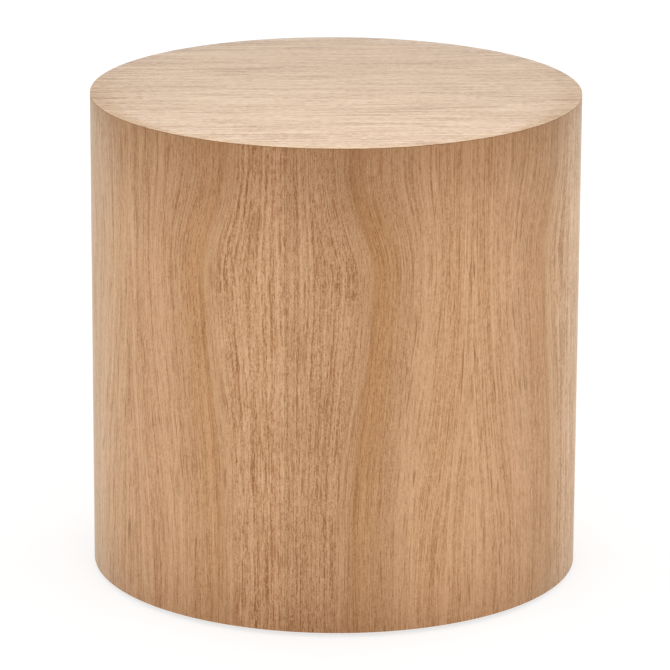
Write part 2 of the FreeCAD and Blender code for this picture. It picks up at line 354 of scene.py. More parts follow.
@dataclass(frozen=True)
class BookMatch:
    """The figure of one leaf, in millimetres from the leaf's first joint and from the top.

    A growth line bows out from the joint. Dense straight grain lies before it, a smooth warm lens just
    beyond it, and open leaning grain from there to the next joint.
    """

    # How far the growth line bows out, and where across the leaf and down it
    swell: float = 21.4
    swell_top: float = 20.0
    swell_full: float = 118.0
    swell_fade: float = 105.0
    swell_end: float = 365.0
    swell_hold: float = 0.0
    swell_root: float = 80.0
    swell_leave: float = 84.0
    swell_gone: float = 166.0
    drift: float = 0.0115

    # How far the open grain leans towards the next joint, and where
    lean: float = 30.0
    lean_top: float = 70.0
    lean_end: float = 430.0
    lean_root: float = 76.0
    lean_full: float = 128.0
    lean_ease: float = 112.0
    lean_joint: float = 172.0
    lean_left: float = 0.5

    # Where the growth line lies, how softly it parts the grain, and its own dark ring
    edge: float = 56.0
    blur: float = 2.0
    ring_before: float = 14.0
    ring_full: float = 1.5
    ring_fade: float = 2.0
    growth: float = 8.0

    # The warm lens: its width beyond the growth line, its length and how it differs between leaves
    lens: float = 46.0
    lens_start: float = 4.6
    lens_top: float = 10.0
    lens_full: float = 70.0
    lens_head: float = 0.3
    lens_fade: float = 230.0
    lens_foot: float = 430.0
    lens_tail: float = 0.55
    lens_swing: float = 0.33
    lens_least: float = 0.4
    lens_step: float = 2.3
    close_fade: float = 16.0
    close_gone: float = 110.0

    # The cluster of pores at the upper end of the growth line, and the light band before it
    shoulder: float = 17.0
    shoulder_near: float = 4.0
    shoulder_core: float = 8.5
    shoulder_depth: float = 84.0
    shoulder_full: float = 25.2
    shoulder_crowd: float = 0.22
    light_band: float = 18.0
    light_most: float = 0.6

    # How strong each scale of the grain is in the lens and in the open grain
    open: float = 0.55
    open_start: float = 24.0
    open_full: float = 50.0
    lens_rings: float = 0.35
    open_rings: float = 0.85
    lens_lines: float = 1.0
    open_lines: float = 0.95
    lens_flecks: float = 0.72
    open_flecks: float = 0.66

    # How much thinner the pores are
    wedge_start: float = 32.0
    wedge_full: float = 16.0
    thin_dense: float = -0.02
    thin_lens: float = -0.16
    thin_open: float = -0.06

    # The tints, the painted shade that darkens the leaf towards its top and its foot, and how far that
    # shade reaches
    shade: str = "#F4EEE8"
    ring: str = "#F6F3EF"
    close: str = "#EDEDEB"
    warm: str = "#F5EAD8"
    light: str = "#E0B68C"
    painted_shade_top: str = "#D6CFC8"
    painted_shade_foot: str = "#E8E2DC"
    reach: float = 152.0
    span: float = 446.0
    wave: Streak = Streak(24.0, 120.0, 5.0, 41.0)

    def line(self, graph: Graph, across: Socket, along: Socket, leaf: Socket) -> Socket:
        """Bends the grain lines.

        Args:
            graph: The material's graph.
            across: The distance across the leaf.
            along: The distance down from the top.
            leaf: The leaf's number.

        Returns:
            The number of the grain line at each place, in millimetres across a straight leaf.
        """
        rising = graph.rise(along, self.swell_top, self.swell_full)
        falling = graph.rise(along, self.swell_fade, self.swell_end, 1.0, 0.0)
        swell = graph.times(graph.times(rising, falling), self.swell)
        sweep = graph.math("MULTIPLY_ADD", along, self.drift, swell)
        held = graph.times(
            graph.rise(across, self.swell_hold, self.swell_root),
            graph.rise(across, self.swell_leave, self.swell_gone, 1.0, 0.0),
        )
        leaning = graph.times(
            graph.rise(across, self.lean_root, self.lean_full),
            graph.rise(across, self.lean_ease, self.lean_joint, 1.0, self.lean_left),
        )
        lean = graph.times(graph.rise(along, self.lean_top, self.lean_end, 0.0, self.lean), leaning)
        bent = graph.add(graph.subtract(across, graph.times(sweep, held)), lean)
        swing = graph.subtract(self.wave.read(graph, across, along, leaf), MIDDLE)
        return graph.math("MULTIPLY_ADD", swing, self.wave.weight, bent)

    def past(
        self, graph: Graph, line: Socket, low: float, high: float, start: float = 0.0, end: float = 1.0
    ) -> Socket:
        """Maps the distance past the growth line smoothly.

        Args:
            graph: The material's graph.
            line: The grain line's number.
            low: Where the change begins, from the growth line.
            high: Where it ends.
            start: The result up to low.
            end: The result from high on.

        Returns:
            The mapped value.
        """
        return graph.rise(line, self.edge + low, self.edge + high, start, end)

    def strength(self, graph: Graph, leaf: Socket) -> Socket:
        """Returns how deep each leaf's figure is."""
        swing = graph.math("COSINE", graph.times(leaf, self.lens_step))
        return graph.math("MULTIPLY_ADD", swing, self.lens_swing, 1.0 - self.lens_swing)

    def lens_share(self, graph: Graph, line: Socket, along: Socket) -> Socket:
        """Returns how far each place lies in the smooth warm lens beyond the growth line."""
        inside = self.past(graph, line, -self.blur, self.blur)
        fade = self.past(graph, line, self.lens_start, self.lens, 1.0, 0.0)
        upper = graph.rise(along, self.lens_top, self.lens_full, self.lens_head, 1.0)
        lower = graph.rise(along, self.lens_fade, self.lens_foot, 1.0, self.lens_tail)
        return graph.times(graph.times(inside, fade), graph.times(upper, lower))

    def shoulder_share(self, graph: Graph, line: Socket, along: Socket) -> Socket:
        """Returns how far each place lies in the cluster of pores at the growth line's upper end."""
        near = self.past(graph, line, -self.blur, self.shoulder_near)
        far = self.past(graph, line, self.shoulder_core, self.shoulder, 1.0, 0.0)
        high = graph.rise(along, self.shoulder_full, self.shoulder_depth, 1.0, 0.0)
        return graph.times(graph.times(near, far), high)

    def tint(self, graph: Graph, line: Socket, along: Socket, leaf: Socket, colour: Socket) -> Socket:
        """Adds the growth line, the warm lens beside it and painted shade that darkens the leaf towards
        its top and its foot.

        Args:
            graph: The material's graph.
            line: The grain line's number.
            along: The distance down from the top.
            leaf: The leaf's number.
            colour: The grain's colour.

        Returns:
            The tinted colour.
        """
        strength = self.strength(graph, leaf)
        band = graph.times(
            self.past(graph, line, -self.light_band, 0.0),
            self.past(graph, line, -self.blur, 0.0, 1.0, 0.0),
        )
        faint = graph.math("MULTIPLY_ADD", strength, -self.light_most, self.light_most)
        colour = graph.mix(graph.times(band, faint), colour, tone(self.light))
        ring = graph.times(
            self.past(graph, line, -self.ring_before, self.ring_full),
            self.past(graph, line, self.ring_fade, self.growth, 1.0, 0.0),
        )
        close = self.past(graph, line, self.close_fade, self.close_gone, 1.0, 0.0)
        warmth = graph.math("MULTIPLY_ADD", strength, 1.0 - self.lens_least, self.lens_least)
        shades = [
            (ring, self.ring),
            (graph.times(close, strength), self.close),
            (graph.times(self.lens_share(graph, line, along), warmth), self.warm),
            (graph.times(self.shoulder_share(graph, line, along), strength), self.shade),
        ]
        # Painted shade: the colour is darkened more and more towards the top and the foot of the leaf
        ends = ((along, self.painted_shade_top), (graph.subtract(self.span, along), self.painted_shade_foot))
        for depth, shade in ends:
            share = graph.math("MAXIMUM", graph.subtract(1.0, graph.times(depth, 1 / self.reach)), 0.0)
            shades.append((graph.times(share, share), shade))
        for share, shade in shades:
            colour = graph.mix(share, colour, graph.mix(1.0, colour, tone(shade), "MULTIPLY"))
        return colour

    def crowd(self, graph: Graph, line: Socket, along: Socket) -> Socket:
        """Returns how much more crowded the pores are at each place."""
        wedge = graph.times(
            self.past(graph, line, -self.wedge_start, -self.wedge_full),
            self.past(graph, line, -self.blur, self.blur, 1.0, 0.0),
        )
        crowd = self.past(graph, line, -self.blur, self.blur, 0.0, self.thin_open)
        changes = (
            (wedge, self.thin_dense),
            (self.lens_share(graph, line, along), self.thin_lens),
            (self.shoulder_share(graph, line, along), self.shoulder_crowd),
        )
        for share, change in changes:
            crowd = graph.math("MULTIPLY_ADD", share, change, crowd)
        return crowd

    def spread(self, graph: Graph, line: Socket) -> Socket:
        """Returns the line's number with the rings further apart beyond the growth line."""
        beyond = graph.math("MAXIMUM", graph.subtract(line, self.edge), 0.0)
        return graph.math("MULTIPLY_ADD", beyond, self.open - 1.0, line)

    def contrast(self, graph: Graph, line: Socket, grain: Grain) -> Feed:
        """Returns how strong one scale of the grain is at each place."""
        lens, open_grain = {
            Grain.RINGS: (self.lens_rings, self.open_rings),
            Grain.LINES: (self.lens_lines, self.open_lines),
            Grain.FLECKS: (self.lens_flecks, self.open_flecks),
        }[grain]
        away = self.past(graph, line, self.open_start, self.open_full, lens, open_grain)
        near = self.past(graph, line, -self.wedge_full, -self.blur, 1.0, 0.0)
        return graph.math("MAXIMUM", near, away)


@dataclass(frozen=True)
class Relief:
    """The fine unevenness of a surface: how much of it shows, and its depth in metres."""

    strength: float
    depth: float

    def press(self, graph: Graph, shader: bpy.types.Node, height: Socket) -> None:
        """Feeds a height to a shader's normal."""
        inputs = {"Strength": self.strength, "Distance": self.depth, "Height": height}
        graph.feed(shader.inputs["Normal"], graph.node("ShaderNodeBump", None, inputs).outputs[0])


@dataclass(frozen=True)
class Veneer:
    """A satin-lacquered wood veneer with fine pores and streaks along the grain."""

    name: str
    figure: Union[BookMatch, Lengthwise]

    # The grain: its colours, the values that they lie at, and its streaks from broad to fine
    pale: str = "#E4B991"
    body: str = "#D0A178"
    dark: str = "#9F6A3C"
    stops: tuple[float, float, float] = (0.2, 0.5, 0.8)
    streaks: tuple[Streak, ...] = (
        Streak(26.0, 900.0, 0.16, 1.3, 0.1, 1.0),
        Streak(5.0, 700.0, 0.26, 7.1, 0.2),
        Streak(2.2, 420.0, 0.5, 11.7),
        Streak(1.2, 70.0, 0.7, 14.9),
        Streak(1.1, 8.0, 0.8, 17.9),
        Streak(1.2, 2.4, 0.7, 19.1),
    )

    # The pores, which lie as dashes in bands, and rarer broad marks among them
    pore: str = "#976437"
    bands: Streak = Streak(9.0, 200.0, 1.0, 29.3, 0.2)
    band_span: tuple[float, float] = (0.35, 0.65)
    dashes: Streak = Streak(1.5, 36.0, 0.8, 23.3, 0.5)
    dash_edge: float = 0.16
    sparse: float = 0.61
    crowded: float = 0.54
    marks: Streak = Streak(5.0, 50.0, 0.4, 31.7, 0.5)
    mark_edge: float = 0.14
    rare: float = 0.6

    # The lacquer over it
    roughness: float = 0.38
    uneven: float = 0.1
    relief: Relief = Relief(0.18, 0.08 * MM)
    fleck_relief: float = 0.25
    gloss: float = 1.33
    gloss_tint: str = "#FFFFFF"
    haze: float = 0.0
    haze_tint: str = "#FFFFFF"

    def build(self) -> bpy.types.Material:
        """Returns the finished material."""
        material, graph, shader = new_material(self.name)
        stored = graph.node("ShaderNodeAttribute", {"attribute_name": GRAIN}).outputs["Vector"]
        across, along, leaf = graph.parts(stored)
        across = graph.times(across, 1 / MM)
        along = graph.times(along, 1 / MM)
        line = self.figure.line(graph, across, along, leaf)
        ring = self.figure.spread(graph, line)
        value: Feed = MIDDLE
        layers: dict[Grain, Feed] = {}
        for grain, place in ((Grain.RINGS, ring), (Grain.LINES, line), (Grain.FLECKS, across)):
            layers[grain] = 0.0
            for streak in self.streaks:
                if streak.grain is grain:
                    swing = graph.subtract(streak.read(graph, place, along, leaf), MIDDLE)
                    layers[grain] = graph.math("MULTIPLY_ADD", swing, streak.weight, layers[grain])
            strength = self.figure.contrast(graph, line, grain)
            value = graph.math("MULTIPLY_ADD", layers[grain], strength, value)
        colour = graph.ramp(value, self.stops, (self.dark, self.body, self.pale))
        colour = self.figure.tint(graph, line, along, leaf, colour)
        bands = self.bands.read(graph, ring, along, leaf)
        crowd = graph.add(bands, self.figure.crowd(graph, line, along))
        bar = graph.rise(crowd, *self.band_span, self.sparse, self.crowded)
        over = graph.subtract(self.dashes.read(graph, ring, along, leaf), bar)
        pores = graph.rise(over, 0.0, self.dash_edge)
        broad = self.marks.read(graph, line, along, leaf)
        marks = graph.rise(broad, self.rare, self.rare + self.mark_edge)
        for share, weight in ((marks, self.marks.weight), (pores, self.dashes.weight)):
            colour = graph.mix(graph.times(share, weight), colour, tone(self.pore))
        graph.feed(shader.inputs["Base Color"], colour)
        coarse = self.roughness + self.uneven
        smooth = self.roughness - self.uneven
        rough = graph.rise(value, self.stops[0], self.stops[-1], coarse, smooth)
        graph.feed(shader.inputs["Roughness"], graph.math("MULTIPLY_ADD", pores, self.uneven, rough))
        height = graph.subtract(graph.times(layers[Grain.FLECKS], self.fleck_relief), pores)
        self.relief.press(graph, shader, height)
        shader.inputs["IOR"].default_value = self.gloss
        shader.inputs["Specular Tint"].default_value = tone(self.gloss_tint)
        shader.inputs["Sheen Weight"].default_value = self.haze
        shader.inputs["Sheen Tint"].default_value = tone(self.haze_tint)
        return material


@dataclass(frozen=True)
class Cloud:
    """Plain noise: its frequency, how many finer layers it has and how strong they are."""

    scale: float = 1.0
    detail: float = 2.0
    gain: float = 0.5

    def read(self, graph: Graph, place: Socket) -> Socket:
        """Returns the noise at each place, a value about 0.5."""
        return graph.noise(place, self.detail, self.gain, self.scale)


@dataclass(frozen=True)
class PlainWood:
    """An unfinished wood or board with a fine speckle drawn out one way.

    Each span holds the noise values between which the colour or the roughness changes.
    """

    name: str
    pale: str
    dark: str
    stretch: tuple[float, float, float]
    fine: Cloud = Cloud(1.0, 4.0, 0.6)
    broad: Cloud = Cloud(0.06)
    broad_share: float = 0.4
    colour_span: tuple[float, float] = (0.36, 0.64)
    rough_span: tuple[float, float] = (0.2, 0.8)
    roughness: tuple[float, float] = (0.75, 0.63)
    relief: Relief = Relief(0.3, 0.2 * MM)

    def build(self) -> bpy.types.Material:
        """Returns the finished material."""
        material, graph, shader = new_material(self.name)
        drawn_out = zip(graph.parts(object_place(graph)), self.stretch)
        place = graph.point(*[graph.times(value, 1 / size) for value, size in drawn_out])
        grain = self.fine.read(graph, place)
        fine = graph.times(grain, 1.0 - self.broad_share)
        value = graph.add(fine, graph.times(self.broad.read(graph, place), self.broad_share))
        colour = graph.ramp(value, self.colour_span, (self.dark, self.pale))
        graph.feed(shader.inputs["Base Color"], colour)
        graph.feed(shader.inputs["Roughness"], graph.rise(grain, *self.rough_span, *self.roughness))
        self.relief.press(graph, shader, grain)
        return material


@dataclass(frozen=True)
class Plywood:
    """Bending plywood: pale faces, and an edge that shows its layers.

    Each pair of steps says how often the noise changes round the drum, and up it or out from its axis.
    """

    name: str
    pale: str = "#D8B98C"
    dark: str = "#A67C4F"
    glue: str = "#6E4A2C"
    layer: float = 1.25
    face: Cloud = Cloud(1.0, 3.0, 0.6)
    face_steps: tuple[float, float] = (260.0, 0.02)
    end: Cloud = Cloud(1.0, 2.0, 0.6)
    end_steps: tuple[float, float] = (1400.0, 4.0)
    end_share: float = 0.4
    crossed: float = 0.12
    colour_span: tuple[float, float] = (0.3, 0.62)
    seam: float = 0.1
    seam_share: float = 0.8
    rough_span: tuple[float, float] = (0.2, 0.8)
    roughness: tuple[float, float] = (0.8, 0.66)
    relief: Relief = Relief(0.4, 0.2 * MM)

    def build(self) -> bpy.types.Material:
        """Returns the finished material."""
        material, graph, shader = new_material(self.name)
        x, y, z = graph.parts(object_place(graph))
        radius = graph.math("SQRT", graph.add(graph.times(x, x), graph.times(y, y)))
        turn = graph.math("ARCTAN2", y, x)
        level = graph.math("DIVIDE", radius, self.layer)
        number = graph.math("FLOOR", level)
        noises = []
        for cloud, steps, away in ((self.face, self.face_steps, z), (self.end, self.end_steps, radius)):
            place = graph.point(graph.times(turn, steps[0]), graph.times(away, steps[1]), number)
            noises.append(cloud.read(graph, place))
        face, end = noises
        value = graph.add(graph.times(face, 1.0 - self.end_share), graph.times(end, self.end_share))
        every_second = graph.math("MODULO", number, 2.0)
        value = graph.subtract(value, graph.times(every_second, self.crossed))
        colour = graph.ramp(value, self.colour_span, (self.dark, self.pale))
        seam = graph.math("LESS_THAN", graph.math("FRACT", level), self.seam)
        colour = graph.mix(graph.times(seam, self.seam_share), colour, tone(self.glue))
        graph.feed(shader.inputs["Base Color"], colour)
        graph.feed(shader.inputs["Roughness"], graph.rise(end, *self.rough_span, *self.roughness))
        self.relief.press(graph, shader, end)
        return material


@dataclass(frozen=True)
class Mottled:
    """A slightly mottled metal or plastic."""

    name: str
    pale: str
    dark: str
    mottle: Cloud
    fine: Cloud
    roughness: tuple[float, float]
    relief: Relief
    metallic: float = 0.0
    span: tuple[float, float] = (0.3, 0.7)

    def build(self) -> bpy.types.Material:
        """Returns the finished material."""
        material, graph, shader = new_material(self.name)
        place = object_place(graph)
        mottle = self.mottle.read(graph, place)
        graph.feed(shader.inputs["Base Color"], graph.ramp(mottle, self.span, (self.dark, self.pale)))
        graph.feed(shader.inputs["Roughness"], graph.rise(mottle, *self.span, *self.roughness))
        self.relief.press(graph, shader, self.fine.read(graph, place))
        shader.inputs["Metallic"].default_value = self.metallic
        return material


# The finishes of the table
SIDE_FACE = Veneer("side veneer", BookMatch(), gloss_tint="#FFFBF2", haze=0.12, haze_tint="#FFF8B4")
TOP_FACE = Veneer(
    name="top veneer",
    figure=Lengthwise(),
    pale="#D4B38D",
    body="#C79E71",
    dark="#9E7646",
    pore="#966A38",
    streaks=(
        Streak(40.0, 500.0, 0.2, 1.3, 0.1, 1.0),
        Streak(14.0, 260.0, 0.35, 7.1, 0.2),
        Streak(5.0, 220.0, 0.6, 11.7),
        Streak(2.4, 150.0, 1.2, 14.9),
        Streak(1.4, 60.0, 1.3, 17.9),
        Streak(1.3, 7.0, 1.5, 19.1),
    ),
    dashes=Streak(2.0, 60.0, 1.0, 23.3, 0.5),
    roughness=0.22,
    uneven=0.06,
    gloss=1.3,
)
VENEER_EDGE = PlainWood("veneer edge", pale="#9C6C44", dark="#6F4827", stretch=(9.0, 9.0, 0.2))
FIBREBOARD = PlainWood("fibreboard", pale="#B08C62", dark="#8C6A45", stretch=(0.8, 0.8, 0.5))
SOFTWOOD = PlainWood("post softwood", pale="#DDBE8E", dark="#B58B57", stretch=(6.0, 4.0, 160.0))
BEECH = PlainWood("dowel beech", pale="#D0A77A", dark="#A97F55", stretch=(0.9, 0.9, 9.0))
BACKING = PlainWood("backing veneer", pale="#C8A57C", dark="#9E774F", stretch=(80.0, 2.0, 2.0))
BENDING_PLY = Plywood("bending plywood")
ZINC_PLATE = Mottled(
    name="zinc plate",
    pale="#C9CCCF",
    dark="#9BA0A6",
    mottle=Cloud(0.9, 3.0, 0.6),
    fine=Cloud(9.0),
    roughness=(0.26, 0.4),
    relief=Relief(0.15, 0.1 * MM),
    metallic=1.0,
)
FOOT_NYLON = Mottled(
    name="foot nylon",
    pale="#3A3A3C",
    dark="#222224",
    mottle=Cloud(3.2, 3.0, 0.6),
    fine=Cloud(3.2, 3.0, 0.6),
    roughness=(0.42, 0.58),
    relief=Relief(0.25, 0.1 * MM),
)


def new_object(name: str, mesh: bpy.types.Mesh) -> bpy.types.Object:
    """Puts a mesh in the scene as an object at the origin.

    Args:
        name: The object's name.
        mesh: Its mesh.

    Returns:
        The new object.
    """
    made = bpy.data.objects.new(name, mesh)
    bpy.context.scene.collection.objects.link(made)
    return made


def smooth_by_angle(mesh: bpy.types.Mesh, degrees: float = 35.0) -> None:
    """Shades a mesh smooth, but sharp across edges steeper than an angle."""
    mesh.shade_smooth()
    mesh.set_sharp_from_angle(angle=math.radians(degrees))


def settle(made: bpy.types.Object) -> None:
    """Makes an object's evaluated result its plain mesh and drops its modifiers."""
    graph = bpy.context.evaluated_depsgraph_get()
    graph.update()
    result = bpy.data.meshes.new_from_object(made.evaluated_get(graph))
    old = made.data
    made.modifiers.clear()
    made.data = result
    result.name = made.name
    bpy.data.meshes.remove(old)


def hand_over(piece: bpy.types.Object, nodes: Sequence[str], body: str) -> bpy.types.Object:
    """Lets a finished piece stand for its CAD nodes.

    Args:
        piece: The finished piece.
        nodes: The CAD nodes it stands for.
        body: The body it rides on.

    Returns:
        The piece.
    """
    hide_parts(*nodes)
    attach(piece, body)
    log.info("built %s with %d faces", piece.name, len(piece.data.polygons))
    return piece


def lathe(name: str, profile: Sequence[Point], segments: int) -> bpy.types.Mesh:
    """Turns a closed (radius, z) profile about the Z axis.

    Args:
        name: The mesh's name.
        profile: The outline, from the axis round to the axis.
        segments: How many steps go round.

    Returns:
        A closed mesh with its faces outwards.
    """
    shape = bmesh.new()
    rings: list[list[bmesh.types.BMVert]] = []
    for radius, z in profile:
        if radius < ON_AXIS:
            rings.append([shape.verts.new((0.0, 0.0, z))])
            continue
        ring = []
        for step in range(segments):
            angle = 2 * math.pi * step / segments
            ring.append(shape.verts.new((radius * math.cos(angle), radius * math.sin(angle), z)))
        rings.append(ring)
    for lower, upper in zip(rings, rings[1:]):
        for step in range(segments):
            after = (step + 1) % segments
            corners = [lower[step % len(lower)], lower[after % len(lower)]]
            corners += [upper[after % len(upper)], upper[step % len(upper)]]
            unique = list(dict.fromkeys(corners))
            if len(unique) > 2:
                shape.faces.new(unique)
    bmesh.ops.recalc_face_normals(shape, faces=shape.faces)
    mesh = bpy.data.meshes.new(name)
    shape.to_mesh(mesh)
    shape.free()
    return mesh


class Tree:
    """A Geometry Nodes tree with named inputs, run once on an object."""

    def __init__(self, name: str, inputs: dict[str, object], takes_mesh: bool = False) -> None:
        """Makes the tree and its inputs.

        Args:
            name: The tree's name.
            inputs: The value of each input by name. Its type settles the socket's.
            takes_mesh: Whether the tree works on the object's own mesh.
        """
        self.tree = bpy.data.node_groups.new(name, "GeometryNodeTree")
        self.values: dict[str, object] = {}
        new_socket = self.tree.interface.new_socket
        if takes_mesh:
            new_socket("Geometry", in_out="INPUT", socket_type="NodeSocketGeometry")
        for label, value in inputs.items():
            socket = new_socket(label, in_out="INPUT", socket_type=self.socket_type(value))
            self.values[socket.identifier] = value
        new_socket("Geometry", in_out="OUTPUT", socket_type="NodeSocketGeometry")
        self.graph = Graph(self.tree)
        self.given = self.graph.node("NodeGroupInput").outputs

    @staticmethod
    def socket_type(value: object) -> str:
        """Returns the socket type that holds a value."""
        if isinstance(value, bpy.types.Material):
            return "NodeSocketMaterial"
        if isinstance(value, bpy.types.Object):
            return "NodeSocketObject"
        return "NodeSocketInt" if isinstance(value, int) else "NodeSocketFloat"

    def position(self) -> tuple[Socket, Socket, Socket]:
        """Returns each point's place."""
        return self.graph.parts(self.graph.node("GeometryNodeInputPosition").outputs[0])

    def index(self) -> Socket:
        """Returns each point's number."""
        return self.graph.node("GeometryNodeInputIndex").outputs[0]

    def points(self, count: Socket, place: Socket) -> Socket:
        """Returns a number of points, each at its place."""
        inputs = {"Count": count, "Position": place}
        return self.graph.node("GeometryNodePoints", None, inputs).outputs[0]

    def sheet(self, columns: Socket, rows: Socket) -> Socket:
        """Returns a flat grid, one unit each way about the origin."""
        inputs = {"Size X": 1.0, "Size Y": 1.0, "Vertices X": columns, "Vertices Y": rows}
        return self.graph.node("GeometryNodeMeshGrid", None, inputs).outputs[0]

    def repeat(self, points: Socket, piece: Socket, change: str, value: Socket) -> Socket:
        """Puts a piece on each point.

        Args:
            points: The points.
            piece: What is put on them.
            change: What changes from point to point, as the node's input names it.
            value: Its value at each point.

        Returns:
            The pieces.
        """
        inputs = {"Points": points, "Instance": piece, change: value}
        return self.graph.node("GeometryNodeInstanceOnPoints", None, inputs).outputs[0]

    def move(self, geometry: Socket, place: Socket) -> Socket:
        """Returns the geometry with its points put at a place."""
        inputs = {"Geometry": geometry, "Position": place}
        return self.graph.node("GeometryNodeSetPosition", None, inputs).outputs[0]

    def store(self, geometry: Socket, name: str, kind: str, value: Socket) -> Socket:
        """Stores a named attribute on points.

        Args:
            geometry: What carries the attribute.
            name: Its name.
            kind: Its data type.
            value: Its value.

        Returns:
            The geometry with the attribute.
        """
        settings = {"data_type": kind, "domain": "POINT"}
        inputs = {"Geometry": geometry, "Name": name, "Value": value}
        return self.graph.node("GeometryNodeStoreNamedAttribute", settings, inputs).outputs[0]

    def close(self, geometry: Socket) -> None:
        """Realizes the result, dresses it and sends it out.

        Args:
            geometry: The finished geometry.
        """
        real = self.graph.node("GeometryNodeRealizeInstances", None, {0: geometry}).outputs[0]
        inputs = {0: real, "Material": self.given["Finish"]}
        dressed = self.graph.node("GeometryNodeSetMaterial", None, inputs).outputs[0]
        self.graph.node("NodeGroupOutput", None, {0: dressed})

    def run(self, made: bpy.types.Object) -> None:
        """Adds the tree to an object with its inputs set.

        Args:
            made: The object that carries the tree.
        """
        modifier = made.modifiers.new(self.tree.name, "NODES")
        modifier.node_group = self.tree
        for identifier, value in self.values.items():
            modifier[identifier] = value


@dataclass
class BentSheet:
    """A thin sheet bent round the drum, in one length or in leaves."""

    name: str
    node: str
    slot: Slot
    radius: float
    thickness: float
    seam: float
    lower: float = RIM
    upper: float = SIDE_TOP
    turn: float = 0.0
    leaf_width: float = 0.0
    first_joint: float = 0.0
    joint: float = 0.02 * MM
    ease: float = 0.15 * MM
    ease_segments: int = 2
    ease_angle: float = math.radians(60.0)
    columns: int = 61
    rows: int = 12
    digits: int = 6

    def lay(self, finish: bpy.types.Material) -> Tree:
        """Builds the tree that lays the leaves round the drum.

        Args:
            finish: The sheet's material.

        Returns:
            The tree.
        """
        around = math.pi * self.radius
        width = self.leaf_width or 2 * around
        start = self.first_joint if self.leaf_width else -around
        first = math.floor(round((-around - start) / width, self.digits))
        inputs = {
            "Radius": self.radius,
            "Lower edge": self.lower,
            "Upper edge": self.upper,
            "Leaf width": width,
            "First joint": start,
            "Seam": self.seam,
            "Joint": self.joint if self.leaf_width else 0.0,
            "Turn": self.turn,
            "First leaf": first,
            "Leaves": math.ceil(round((around - start) / width, self.digits)) - first,
            "Columns": self.columns,
            "Rows": self.rows,
            "Finish": finish,
        }
        tree = Tree(f"{self.name} leaves", inputs)
        graph, given = tree.graph, tree.given
        number = graph.add(tree.index(), given["First leaf"])
        half = graph.subtract(graph.times(given["Radius"], math.pi), graph.times(given["Seam"], 0.5))
        begin = graph.math("MULTIPLY_ADD", number, given["Leaf width"], given["First joint"])
        low = graph.math("MAXIMUM", begin, graph.times(half, -1.0))
        high = graph.math("MINIMUM", graph.add(begin, given["Leaf width"]), half)
        middle = graph.times(graph.add(low, high), 0.5)
        length = graph.subtract(graph.subtract(high, low), given["Joint"])
        level = graph.times(graph.add(given["Lower edge"], given["Upper edge"]), 0.5)
        height = graph.subtract(given["Upper edge"], given["Lower edge"])
        points = tree.points(given["Leaves"], graph.point(middle, level))
        numbered = tree.store(points, "leaf", "FLOAT", number)
        sheet = tree.sheet(given["Columns"], given["Rows"])
        laid = tree.repeat(numbered, sheet, "Scale", graph.point(length, height, 1.0))
        joined = graph.node("GeometryNodeRealizeInstances", None, {0: laid}).outputs[0]
        arc, z, _ = tree.position()
        named = graph.node("GeometryNodeInputNamedAttribute", {"data_type": "FLOAT"}, {"Name": "leaf"})
        folded = graph.math("PINGPONG", graph.subtract(arc, given["First joint"]), given["Leaf width"])
        grain = graph.point(folded, graph.subtract(given["Upper edge"], z), named.outputs[0])
        marked = tree.store(joined, GRAIN, "FLOAT_VECTOR", grain)
        angle = graph.add(graph.math("DIVIDE", arc, given["Radius"]), given["Turn"])
        across = graph.times(given["Radius"], graph.math("SINE", angle))
        back = graph.times(given["Radius"], graph.times(graph.math("COSINE", angle), -1.0))
        tree.close(tree.move(marked, graph.point(across, back, z)))
        return tree

    def build(self, finish: bpy.types.Material) -> bpy.types.Object:
        """Builds the sheet.

        Args:
            finish: Its material.

        Returns:
            The sheet, standing for its CAD node.
        """
        sheet = new_object(self.name, bpy.data.meshes.new(self.name))
        self.lay(finish).run(sheet)
        wall = sheet.modifiers.new("Thickness", "SOLIDIFY")
        wall.thickness = self.thickness
        wall.offset = -1.0
        eased = sheet.modifiers.new("Eased edges", "BEVEL")
        eased.width = self.ease
        eased.segments = self.ease_segments
        eased.limit_method = "ANGLE"
        eased.angle_limit = self.ease_angle
        settle(sheet)
        smooth_by_angle(sheet.data)
        return hand_over(sheet, [self.node], "drum")


SIDE_VENEER = BentSheet(
    name="side_veneer_leaves",
    node="side_veneer",
    slot=Slot.SIDE,
    radius=DRUM_RADIUS,
    thickness=VENEER,
    seam=0.2 * MM,
    leaf_width=172.3 * MM,
    first_joint=math.radians(-11.4) * DRUM_RADIUS,
)
PLY_WRAPS = (
    BentSheet(
        name="outer_ply_sheet",
        node="outer_ply_wrap",
        slot=Slot.PLYWOOD,
        radius=OUTER_WRAP,
        thickness=PLY,
        seam=0.5 * MM,
        turn=math.radians(90.0),
        columns=361,
    ),
    BentSheet(
        name="inner_ply_sheet",
        node="inner_ply_wrap",
        slot=Slot.PLYWOOD,
        radius=INNER_WRAP,
        thickness=PLY,
        seam=0.5 * MM,
        columns=361,
    ),
)


